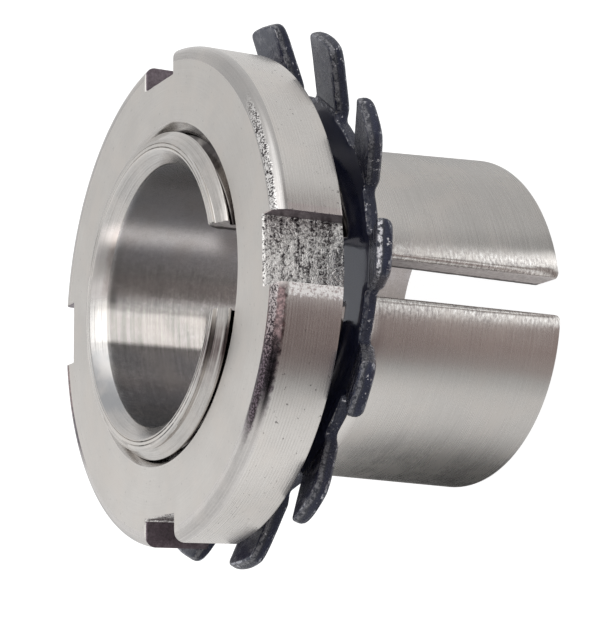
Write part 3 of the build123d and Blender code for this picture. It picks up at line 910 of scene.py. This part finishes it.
        # the torn strip is painted lighter towards +x and darker, purplish towards -x: painted highlight and painted
        # shade over its torn texture
        col = g.mix(strip, col, g.mix(spot, (0.05, 0.04, 0.045), g.mix(far, g.mix(g.remap(x, -6.5, 1.0), (0.44, 0.35, 0.36), (0.95, 0.93, 0.91)), (0.21, 0.165, 0.195))))
        g.set("Base Color", col)
        height = g.math("ADD", height, g.math("MULTIPLY", g.math("MULTIPLY", torn, strip), 5.0))
    g.link(g.bump(height, 1.0, depth), g.bsdf.inputs["Normal"])
    g.bsdf.inputs["Anisotropic"].default_value = aniso
    g.bsdf.inputs["Anisotropic Rotation"].default_value = 0.25
    tan = g.node("ShaderNodeTangent", direction_type="RADIAL", axis="Z")
    g.link(tan.outputs[0], g.bsdf.inputs["Tangent"])
    return g.mat


STEEL_LIGHT = (0.735, 0.71, 0.68)
STEEL_DARK = (0.62, 0.592, 0.566)
sleeve_out = turned_steel("steel_sleeve_turned", STEEL_LIGHT, STEEL_DARK, rough=(0.22, 0.32), lines=9.0, depth=0.0035, aniso=0.85, lips=True)
sleeve_bore = turned_steel("steel_sleeve_bore", (0.74, 0.72, 0.70), (0.50, 0.485, 0.47), rough=(0.19, 0.26), lines=7.0, depth=0.0016, aniso=0.5, metal=0.93, bars=0.2)
nut_out = turned_steel("steel_nut_turned", STEEL_LIGHT, STEEL_DARK, rough=(0.22, 0.33), lines=8.0, depth=0.004, aniso=0.8, rib=0.22, pits=0.8, slot_burr=True)
nut_face = turned_steel("steel_nut_face", STEEL_LIGHT, (0.655, 0.628, 0.60), rough=(0.34, 0.42), lines=11.0, depth=0.0036, aniso=0.4, pits=0.25, mottle=0.35)
nut_bevel = turned_steel("steel_nut_bevel", (0.72, 0.695, 0.67), (0.50, 0.48, 0.47), rough=(0.16, 0.28), lines=8.0, depth=0.006, aniso=0.3, rough_edge=True)
thread_mat = turned_steel("steel_thread", (0.72, 0.695, 0.67), (0.50, 0.48, 0.46), rough=(0.12, 0.2), lines=9.0, depth=0.003, aniso=0.2, speckle=0.8, thread_painted_shade=True)


def milled_steel(name, light, dark, rough, scale, depth, sharp=(0.36, 0.62), metal=1.0, burr=False):
    """Steel torn a little by a cutter: pits and short raised marks."""
    g = Graph(name)
    p, x, y, z, r = g.coords()
    tears = g.noise(p, scale, 4.0, 0.68)
    fine = g.noise(p, scale * 2.6, 3.0, 0.6)
    marks = g.noise(g.vector(g.math("MULTIPLY", x, 3.0), g.math("MULTIPLY", y, 3.0), g.math("MULTIPLY", z, 0.7)), 1.6, 3.0, 0.6)
    tone = g.remap(g.math("ADD", g.math("MULTIPLY", tears, 0.55), g.math("MULTIPLY", fine, 0.45)), *sharp)
    col = g.mix(tone, dark, light)
    if burr:
        # painted shadow darkens the ragged edge at the bore, and a painted highlight lightens the wall under its rolled
        # lip
        edge = g.math("ADD", r, g.math("MULTIPLY", g.noise(p, 2.6, 3.0, 0.65), 0.5))
        col = g.mix(g.remap(edge, 11.02, 11.2), (0.05, 0.042, 0.042), col)
        col = g.mix(g.remap(edge, 12.9, 13.3), col, light)
    g.set("Base Color", col)
    g.set("Metallic", metal)
    g.set("Roughness", g.remap(marks, 0.3, 0.7, rough[0], rough[1]))
    height = g.math("ADD", tears, g.math("MULTIPLY", fine, 0.5))
    g.link(g.bump(height, 1.0, depth), g.bsdf.inputs["Normal"])
    return g.mat


def torn_steel(name):
    """The floor a slotting cutter tore: pits and bright raised crumbs, some in rows."""
    g = Graph(name)
    p, x, y, z, r = g.coords()
    crumbs = g.noise(p, 4.6, 2.0, 0.65)
    fine = g.noise(p, 10.0, 2.0, 0.6)
    blot = g.noise(p, 1.5, 2.0, 0.5)
    rows = g.noise(g.vector(g.math("MULTIPLY", x, 0.45), g.math("MULTIPLY", y, 0.45), g.math("MULTIPLY", z, 2.5)), 1.0, 2.0, 0.6)
    lift = g.math("ADD", g.math("MULTIPLY", crumbs, 0.38), g.math("MULTIPLY", fine, 0.30))
    lift = g.math("ADD", lift, g.math("MULTIPLY", blot, 0.08))
    lift = g.math("ADD", lift, g.math("MULTIPLY", rows, 0.24))
    # the cutter went in on one side dull and came out cleaner on the other
    lift = g.math("ADD", lift, g.remap(x, -2.4, 2.4, 0.012, -0.024))
    tone = g.remap(lift, 0.424, 0.532)
    col = g.mix(tone, (0.055, 0.045, 0.05), (0.96, 0.94, 0.91))
    g.set("Base Color", col)
    g.set("Metallic", 1.0)
    g.set("Roughness", g.remap(crumbs, 0.3, 0.7, 0.4, 0.22))
    g.link(g.bump(lift, 1.0, 0.16), g.bsdf.inputs["Normal"])
    return g.mat


slot_floor = torn_steel("steel_slot_floor")
# the slots' walls are painted shade: a darkened, purple-brown, part diffuse copy of the steel
slot_wall_painted_shade = milled_steel("steel_slot_wall_painted_shade", (0.285, 0.24, 0.265), (0.14, 0.112, 0.13), (0.28, 0.42), 2.4, 0.02, metal=0.8)
# the slit's walls are painted light: a whitish, half diffuse copy of the steel, with painted shadow and highlight at
# its edges
slit_wall_painted_light_and_shade = milled_steel("steel_slit_wall_painted_light_and_shade", (0.88, 0.85, 0.83), (0.50, 0.46, 0.455), (0.3, 0.42), 2.2, 0.012, metal=0.45, burr=True)


def black_oxide(name, kind):
    """Steel blackened in a hot bath: a glossy blue-black skin, dulled on the tabs and rubbed bright on the punched edges."""
    g = Graph(name)
    p, x, y, z, r = g.coords()
    cloud = g.noise(p, 0.5, 4.0, 0.6)
    patch = g.noise(p, 0.9, 4.0, 0.66)
    grain = g.noise(p, 6.5, 3.0, 0.65)
    col = g.mix(g.remap(cloud, 0.35, 0.7), (0.0125, 0.0145, 0.033), (0.0185, 0.0212, 0.046))
    bare = 0.0
    if kind == "corner":
        # the line where a face meets the cut edge has lost its skin in places
        worn = g.noise(p, 1.9, 3.0, 0.7)
        bare = g.remap(worn, 0.53, 0.60, 0.0, 0.9)
        col = g.mix(bare, col, (0.46, 0.46, 0.49))
        g.set("Roughness", g.remap(worn, 0.4, 0.65, 0.16, 0.3))
    elif kind == "edge":
        # distance into the sheet from the side that faces the nut, on the ring and on the bent tabs
        tilt = (math.sin(WASHER_TILT) * math.cos(WASHER_LOW), math.sin(WASHER_TILT) * math.sin(WASHER_LOW), math.cos(WASHER_TILT))
        dx = g.math("SUBTRACT", x, WASHER_SHIFT * math.cos(WASHER_SHIFT_DIR))
        dy = g.math("SUBTRACT", y, WASHER_SHIFT * math.sin(WASHER_SHIFT_DIR))
        dz = g.math("SUBTRACT", z, WASHER_TOP_Z)
        up = g.math("ADD", g.math("ADD", g.math("MULTIPLY", dx, tilt[0]), g.math("MULTIPLY", dy, tilt[1])), g.math("MULTIPLY", dz, tilt[2]))
        out = g.math("SQRT", g.math("ADD", g.math("MULTIPLY", dx, dx), g.math("MULTIPLY", dy, dy)))
        bend_c = TAB_BEND_R - BEND_INNER * math.tan(TAB_BEND / 2)
        bent = g.math("SUBTRACT", g.math("MULTIPLY", up, math.cos(TAB_BEND)), g.math("MULTIPLY", out, math.sin(TAB_BEND)))
        bent = g.math("ADD", bent, bend_c * math.sin(TAB_BEND) + BEND_INNER * (1 - math.cos(TAB_BEND)))
        is_tab = g.remap(out, 16.3, 16.7)
        deep = g.math("MULTIPLY", g.math("ADD", g.math("MULTIPLY", bent, is_tab), g.math("MULTIPLY", up, g.math("SUBTRACT", 1.0, is_tab))), -1.0)
        wander = g.math("ADD", deep, g.math("MULTIPLY", g.math("SUBTRACT", patch, 0.5), 0.35))
        shear = g.math("MULTIPLY", g.remap(wander, 0.0, 0.08), g.remap(wander, 0.46, 0.36))
        crumb = g.noise(p, 3.6, 3.0, 0.7)
        flake = g.noise(p, 1.3, 2.0, 0.6)
        here = g.math("MULTIPLY", g.remap(g.math("ABSOLUTE", x), 2.4, 4.5, 1.0, 0.25), g.remap(out, 16.3, 16.9, 0.2, 1.0))
        bare = g.math("MULTIPLY", g.remap(crumb, 0.42, 0.53), g.math("MULTIPLY", shear, here))
        spots = g.remap(g.math("ADD", g.math("MULTIPLY", crumb, 0.6), g.math("MULTIPLY", flake, 0.4)), 0.60, 0.64, 0.0, 1.0)
        bare = g.math("MAXIMUM", bare, spots)
        col = g.mix(g.math("MULTIPLY", g.remap(wander, 0.62, 0.42), g.remap(out, 16.3, 16.9, 0.15, 1.0)), col, (0.030, 0.031, 0.040))
        col = g.mix(bare, col, (0.66, 0.65, 0.68))
        g.set("Roughness", g.remap(grain, 0.35, 0.65, 0.32, 0.16))
    elif kind == "tab":
        rub = g.remap(patch, 0.46, 0.66, 0.0, 0.9, True)
        col = g.mix(rub, col, (0.155, 0.155, 0.178))
        bare = g.remap(grain, 0.66, 0.72, 0.0, 0.3)
        col = g.mix(bare, col, (0.4, 0.4, 0.42))
        g.set("Roughness", g.remap(patch, 0.35, 0.7, 0.14, 0.34))
    else:
        g.set("Roughness", g.remap(patch, 0.35, 0.7, 0.08, 0.17))
    g.bsdf.inputs["IOR"].default_value = {"ring": 1.92, "edge": 1.44, "corner": 1.75, "tab": 1.72}[kind]
    g.bsdf.inputs["Specular Tint"].default_value = (0.86, 0.90, 1.0, 1.0)
    g.set("Base Color", col)
    g.set("Metallic", bare)
    height = g.math("ADD", g.math("MULTIPLY", grain, {"edge": 1.1, "corner": 0.6, "tab": 0.4, "ring": 0.12}[kind]), g.math("MULTIPLY", patch, 0.8))
    g.link(g.bump(height, 1.0, {"edge": 0.11, "corner": 0.05, "tab": 0.035, "ring": 0.012}[kind]), g.bsdf.inputs["Normal"])
    return g.mat


oxide_face = black_oxide("black_oxide_ring", "ring")
oxide_edge = black_oxide("black_oxide_edge", "edge")
oxide_tab = black_oxide("black_oxide_tab", "tab")
oxide_corner = black_oxide("black_oxide_corner", "corner")


def paint(obj, mats, pick):
    """Gives each face the material that pick chooses from its middle and normal, in millimetres."""
    obj.data.materials.clear()
    for m in mats:
        obj.data.materials.append(m)
    me = obj.data
    n = len(me.polygons)
    cen = np.zeros(n * 3)
    nor = np.zeros(n * 3)
    me.polygons.foreach_get("center", cen)
    me.polygons.foreach_get("normal", nor)
    me.polygons.foreach_set("material_index", pick(cen.reshape(-1, 3), nor.reshape(-1, 3)).astype(np.int32))
    me.update()


def pick_sleeve(c, n):
    r = np.hypot(c[:, 0], c[:, 1])
    radial = (c[:, 0] * n[:, 0] + c[:, 1] * n[:, 1]) / np.maximum(r, 1e-6)
    out = np.zeros(len(c), int)
    out[(radial < -0.3) & (r < 11.2)] = 1
    out[(c[:, 2] > 16.7) & (radial > -0.2) & (r > 11.4)] = 2
    wall = (np.abs(n[:, 0]) > 0.9) & (c[:, 1] < -9.5) & (np.abs(c[:, 0]) < 3.3)
    ledge = (n[:, 2] > 0.5) & (c[:, 1] < 0) & (np.abs(c[:, 0]) < 3.2) & (c[:, 2] < 17.6) & (c[:, 2] > 16)
    broken = (np.abs(n[:, 0]) > 0.5) & (radial < 0.5) & (c[:, 1] < -9.5) & (np.abs(c[:, 0]) < 2.4) & (r < 10.6)
    out[wall | ledge | broken] = 3
    return out


def pick_nut(c, n):
    r = np.hypot(c[:, 0], c[:, 1])
    out = np.zeros(len(c), int)
    radial = (c[:, 0] * n[:, 0] + c[:, 1] * n[:, 1]) / np.maximum(r, 1e-6)
    out[np.abs(n[:, 2]) > 0.97] = 1
    out[(r > NUT_R - NUT_ROUND - 0.12) & (c[:, 2] > NUT_TOP - NUT_ROUND - 0.02)] = 2
    out[r < MOUTH_TOP_R + 0.1] = 3
    for i in range(4):
        t = -math.pi / 2 + NUT_TURN + i * math.pi / 2
        u = c[:, 0] * math.cos(t) + c[:, 1] * math.sin(t)
        v = -c[:, 0] * math.sin(t) + c[:, 1] * math.cos(t)
        nu = n[:, 0] * math.cos(t) + n[:, 1] * math.sin(t)
        near = (np.abs(v) < SLOT_HALF + 0.08) & (u > SLOT_FLOOR_R - 0.3)
        floor = near & (u < SLOT_FLOOR_R + 0.16) & (nu > 0.2)
        nv = np.abs(-n[:, 0] * math.sin(t) + n[:, 1] * math.cos(t))
        wall = near & (nv > 0.9)
        out[floor] = 4
        out[wall] = 5
    return out


def pick_washer(c, n):
    # cut edges are the faces that stand square to the sheet
    nrm = np.array(
        [
            math.sin(WASHER_TILT) * math.cos(WASHER_LOW),
            math.sin(WASHER_TILT) * math.sin(WASHER_LOW),
            math.cos(WASHER_TILT),
        ]
    )
    r = np.hypot(c[:, 0], c[:, 1])
    rad = np.stack([c[:, 0] / r, c[:, 1] / r, np.zeros(len(c))], 1)
    tab = np.cos(TAB_BEND) * nrm - np.sin(TAB_BEND) * rad
    flat = np.abs(n @ nrm)
    bent = np.abs(np.sum(n * tab, 1))
    face = np.where(r > 16.5, bent, flat)
    out = (face < 0.55).astype(int)
    out[(face >= 0.55) & (face < 0.93)] = 3
    out[(out == 0) & (np.hypot(c[:, 0] - WASHER_SHIFT, c[:, 1]) > 16.4)] = 2
    return out


paint(sleeve, [sleeve_out, sleeve_bore, thread_mat, slit_wall_painted_light_and_shade], pick_sleeve)
paint(nut, [nut_out, nut_face, nut_bevel, thread_mat, slot_floor, slot_wall_painted_shade], pick_nut)
paint(washer, [oxide_face, oxide_edge, oxide_tab, oxide_corner], pick_washer)

to_metres(sleeve)
to_metres(nut)
to_metres(washer, 40)

# the hidden solids keep the same finishes
for node_name, mat in (("sleeve", sleeve_out), ("lock_nut", nut_out), ("lock_washer", oxide_face)):
    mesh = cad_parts[node_name].data
    mesh.materials.clear()
    mesh.materials.append(mat)

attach(sleeve, "sleeve_body")
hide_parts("sleeve")
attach(nut, "nut_body")
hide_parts("lock_nut")
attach(washer, "washer_body")
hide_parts("lock_washer")

# ------------------------------------------------------------------ floor
FLOOR_R = 3.0
ring = [(FLOOR_R * math.cos(a), FLOOR_R * math.sin(a), 0.0) for a in np.linspace(0, 2 * math.pi, 65)[:-1]]
floor_mesh = bpy.data.meshes.new("floor")
floor_mesh.from_pydata(ring, [], [tuple(range(64))])
floor = as_object("floor", floor_mesh)
floor.location.z = -0.00002
fg = Graph("floor_pale")
fg.set("Base Color", (0.3, 0.3, 0.3))
fg.set("Roughness", 0.9)
fg.bsdf.inputs["Specular IOR Level"].default_value = 0.0
fg.bsdf.inputs["Emission Color"].default_value = (1, 1, 1, 1)
fg.bsdf.inputs["Emission Strength"].default_value = 0.93
floor_mesh.materials.append(fg.mat)
floor.visible_glossy = False
floor.visible_diffuse = False
floor.visible_transmission = False
floor.visible_shadow = False

# ------------------------------------------------------------------ the table close round the sleeve, as its polished side mirrors it
NEAR = [
    (-283, 0.26), (-271, 0.11), (-260, 0.055), (-242, 0.03), (-212, 0.10), (-200, 0.22),
    (-187, 0.45), (-176, 0.60), (-163, 0.68), (-148, 0.68), (-137, 0.50), (-130, (0.39, 0.355, 0.35)), (-116, (0.315, 0.255, 0.245)),
    (-104, (0.33, 0.275, 0.265)), (-100, (0.42, 0.37, 0.36)), (-97.5, 1.1), (-92, 1.25), (-86, 0.75), (-77, (0.26, 0.22, 0.21)), (-68, (0.30, 0.26, 0.25)), (-62.5, 0.85), (-57.5, 1.5), (-53, 1.0), (-49, 0.36), (-42, 0.37), (-34, 0.475),
    (28, 0.56), (45, 0.51), (57, 0.43), (70, 0.36), (77, 0.26),
]
CAM_AZ = 77.5
near = bpy.data.meshes.new("table_near")
ring_in = [(0.0131 * math.cos(a), 0.0131 * math.sin(a), 0.0) for a in np.linspace(0, 2 * math.pi, 97)[:-1]]
ring_out = [(0.044 * math.cos(a), 0.044 * math.sin(a), 0.0) for a in np.linspace(0, 2 * math.pi, 97)[:-1]]
near.from_pydata(ring_in + ring_out, [], [(k, (k + 1) % 96, 96 + (k + 1) % 96, 96 + k) for k in range(96)])
near_obj = as_object("table_near", near)
near_obj.location.z = -0.00004
ng = Graph("table_near_glow")
_, nx, ny, _, nr = ng.coords()
polar = ng.math("MULTIPLY", ng.math("ARCTAN2", ny, nx), 180 / math.pi)
polar = ng.math("SUBTRACT", ng.math("FLOORED_MODULO", ng.math("SUBTRACT", polar, CAM_AZ), 360.0), 360.0 - CAM_AZ)
swing = polar
for _ in range(3):
    # direction in which a ray leaves the sleeve's side to reach this point
    arm = ng.math("MULTIPLY", ng.math("SINE", ng.math("MULTIPLY", ng.math("ADD", swing, 180 - CAM_AZ), math.pi / 360)), 13.3)
    turn = ng.math("MULTIPLY", ng.math("ARCSINE", ng.math("DIVIDE", arm, nr)), 180 / math.pi)
    swing = ng.math("ADD", polar, turn)
n = ng.node("ShaderNodeValToRGB")
stops = n.color_ramp.elements
while len(stops) > 1:
    stops.remove(stops[-1])
for i, (a, col) in enumerate(NEAR):
    col = (col, col, col) if not isinstance(col, tuple) else col
    e = stops[0] if i == 0 else stops.new((a + 283) / 360)
    e.position = (a + 283) / 360
    e.color = (*[c / 2 for c in col], 1)
ng.link(ng.math("DIVIDE", ng.math("ADD", swing, 283.0), 360.0), n.inputs[0])
glow = ng.node("ShaderNodeEmission")
ng.link(n.outputs[0], glow.inputs[0])
glow.inputs[1].default_value = 2.0
clear = ng.node("ShaderNodeBsdfTransparent")
fade_out = ng.node("ShaderNodeMixShader")
ng.link(ng.remap(nr, 40.0, 44.0), fade_out.inputs[0])
ng.link(glow.outputs[0], fade_out.inputs[1])
ng.link(clear.outputs[0], fade_out.inputs[2])
ng.tree.nodes.remove(ng.bsdf)
ng.link(fade_out.outputs[0], ng.out.inputs[0])
near.materials.append(ng.mat)
near_obj.visible_camera = False
near_obj.visible_diffuse = False
near_obj.visible_transmission = False
near_obj.visible_shadow = False

under = bpy.data.meshes.new("table_under")
under.from_pydata(ring_in, [], [tuple(range(96))])
under_obj = as_object("table_under", under)
under_obj.location.z = -0.00004
ug = Graph("table_under_glow")
_, ux, uy, _, ur = ug.coords()
shade = ug.node("ShaderNodeEmission")
ug.link(ug.mix(ug.remap(ur, 0.0, 12.0), (0.52, 0.48, 0.465), (0.40, 0.375, 0.37)), shade.inputs[0])
ug.tree.nodes.remove(ug.bsdf)
ug.link(shade.outputs[0], ug.out.inputs[0])
under.materials.append(ug.mat)
under_obj.visible_camera = False
under_obj.visible_diffuse = False
under_obj.visible_transmission = False
under_obj.visible_shadow = False

# ------------------------------------------------------------------ light that falls through the slit on the far side of the bore
for name, at_x, lean, wide, watt, tint in (
    ("slit_light_a", -0.06, 1.5, 2.7, 0.00128, (1.0, 0.985, 0.96)),
    ("slit_light_b", 0.07, -19.3, 1.4, 0.00025, (1.0, 0.95, 0.92)),
    ("slit_light_c", 0.06, -2.7, 0.3, 0.00006, (1.0, 0.96, 0.93)),
):
    lamp = bpy.data.lights.new(name, "AREA")
    lamp.shape = "RECTANGLE"
    lamp.size = wide * 0.001
    lamp.size_y = 0.0105
    lamp.spread = math.radians(6.0 if wide == 1.4 else 2.0)
    lamp.energy = watt
    lamp.color = tint
    # it is too small a light to count in the bore's own mirror images
    lamp.use_nodes = True
    lt = lamp.node_tree
    lt.nodes.clear()
    depth = lt.nodes.new("ShaderNodeLightPath")
    first_hit = lt.nodes.new("ShaderNodeMath")
    first_hit.operation = "LESS_THAN"
    first_hit.inputs[1].default_value = 1.5
    shine = lt.nodes.new("ShaderNodeEmission")
    end = lt.nodes.new("ShaderNodeOutputLight")
    lt.links.new(depth.outputs["Ray Depth"], first_hit.inputs[0])
    lt.links.new(first_hit.outputs[0], shine.inputs["Strength"])
    lt.links.new(shine.outputs[0], end.inputs[0])
    lamp_obj = bpy.data.objects.new(name, lamp)
    scene.collection.objects.link(lamp_obj)
    a = math.radians(90 + lean)
    aim = Vector((math.cos(a), math.sin(a), 0.0))
    rot = Matrix((aim.cross(Vector((0, 0, 1))).normalized(), Vector((0, 0, 1)), -aim)).transposed().to_4x4()
    rot.translation = Vector((at_x * 0.001, -0.0108, 0.0235))
    lamp_obj.matrix_world = rot
    lamp_obj.visible_camera = False
    lamp_obj.visible_glossy = False

# ------------------------------------------------------------------ soft studio surround
world = bpy.data.worlds.new("studio")
scene.world = world
world.use_nodes = True
wt = world.node_tree
wt.nodes.clear()


def wnode(kind, **props):
    n = wt.nodes.new(kind)
    for k, v in props.items():
        setattr(n, k, v)
    return n


def wmath(op, a, b=0.0):
    n = wnode("ShaderNodeMath", operation=op)
    for s, v in zip(n.inputs, (a, b)):
        if hasattr(v, "is_output"):
            wt.links.new(v, s)
        else:
            s.default_value = v
    return n.outputs[0]


def ramp(value, stops):
    """Soft panels round the horizon: azimuth in degrees to brightness."""
    n = wnode("ShaderNodeValToRGB")
    n.color_ramp.interpolation = "LINEAR"
    el = n.color_ramp.elements
    while len(el) > 1:
        el.remove(el[-1])
    for i, (az, col) in enumerate(stops):
        col = (col, col, col) if not isinstance(col, tuple) else col
        e = el[0] if i == 0 else el.new((az + 180) / 360)
        e.position = (az + 180) / 360
        e.color = (*[c / 2 for c in col], 1)
    wt.links.new(value, n.inputs[0])
    return n.outputs[0]


tc = wnode("ShaderNodeTexCoord")
sep = wnode("ShaderNodeSeparateXYZ")
wt.links.new(tc.outputs["Generated"], sep.inputs[0])
az = wmath("DIVIDE", wmath("ARCTAN2", sep.outputs[1], sep.outputs[0]), 2 * math.pi)
az = wmath("ADD", az, 0.5)
el = wmath("MULTIPLY", wmath("ARCSINE", sep.outputs[2]), 180 / math.pi)

LOW = [
    (-180, 0.99), (-165, 0.94), (-152, 0.88), (-147, 0.78), (-141, 0.60), (-135, 0.40),
    (-130, (0.27, 0.235, 0.235)), (-121, (0.195, 0.153, 0.15)), (-104, (0.228, 0.18, 0.174)), (-98.5, (0.25, 0.205, 0.198)),
    (-96.3, 0.73), (-88, 0.75), (-75, 0.70), (-63, 0.56), (-59, 0.34), (-54, (0.27, 0.235, 0.23)), (-49, 0.62), (-40, 0.75),
    (-15, 0.74), (28, 0.77), (61, 0.78), (78, 0.62), (92, 0.62), (108, 0.80), (150, 0.82), (162, 0.86), (172, 0.93), (180, 0.99),
]
HIGH = [
    (-180, 0.85), (-160, 0.80), (-153, 0.50), (-146, 0.10), (-140, 0.03), (-123, 0.03), (-118, 0.22), (-115, 0.7), (-112, 1.5), (-107, 1.5), (-96, 1.25), (-84, 0.95),
    (-70, 1.2), (-60, 1.55), (-28, 1.55), (-18, 1.0), (0, 0.68), (45, 0.66), (70, 0.65), (73.5, 0.67), (76, 0.73), (78, 0.79), (81, 0.90), (84, 0.94),
    (95, 0.90), (120, 0.74), (160, 0.74), (180, 0.80),
]
low, high = ramp(az, LOW), ramp(az, HIGH)


def between(value, a, b):
    n = wnode("ShaderNodeMapRange", clamp=True, interpolation_type="SMOOTHSTEP")
    wt.links.new(value, n.inputs["Value"])
    n.inputs["From Min"].default_value = a
    n.inputs["From Max"].default_value = b
    return n.outputs[0]


def wmix(fac, a, b):
    n = wnode("ShaderNodeMix", data_type="RGBA")
    wt.links.new(fac, n.inputs[0])
    for s, v in ((n.inputs[6], a), (n.inputs[7], b)):
        if hasattr(v, "is_output"):
            wt.links.new(v, s)
        else:
            s.default_value = v
    return n.outputs[2]


sky = wmix(between(el, -4, 14), low, high)
sky = wmix(between(el, 70, 84), sky, (0.30, 0.30, 0.30, 1))
sky = wmix(between(el, -62, -80), sky, (0.35, 0.35, 0.35, 1))
studio = wnode("ShaderNodeBackground")
wt.links.new(sky, studio.inputs[0])
studio.inputs[1].default_value = 2.0
plain = wnode("ShaderNodeBackground")
plain.inputs[0].default_value = (0.97, 0.97, 0.97, 1)
plain.inputs[1].default_value = 1.0
path = wnode("ShaderNodeLightPath")
pick = wnode("ShaderNodeMixShader")
wt.links.new(path.outputs["Is Camera Ray"], pick.inputs[0])
wt.links.new(studio.outputs[0], pick.inputs[1])
wt.links.new(plain.outputs[0], pick.inputs[2])
out = wnode("ShaderNodeOutputWorld")
wt.links.new(pick.outputs[0], out.inputs[0])
world.cycles.sampling_method = "MANUAL"
world.cycles.sample_map_resolution = 1024

scene.view_settings.view_transform = "Standard"
scene.view_settings.look = "None"
scene.view_settings.exposure = 0.0
scene.view_settings.gamma = 1.0

# ------------------------------------------------------------------ camera
cam_data = bpy.data.cameras.new("camera")
camera = bpy.data.objects.new("camera", cam_data)
scene.collection.objects.link(camera)
right = Vector((-0.01350, -0.48651, -0.87357))
down = Vector((-0.98151, 0.17326, -0.08132))
forward = Vector((0.19090, 0.85632, -0.47985))
rot = Matrix((right, -down, -forward)).transposed().to_4x4()
rot.translation = Vector((-0.02951, -0.13121, 0.08895))
camera.matrix_world = rot
cam_data.sensor_fit = "AUTO"
cam_data.sensor_width = 36.0
cam_data.lens = 1945.1 * 36.0 / 624.0
cam_data.clip_start = 0.01
cam_data.clip_end = 20.0
cam_data.dof.use_dof = False
scene.camera = camera
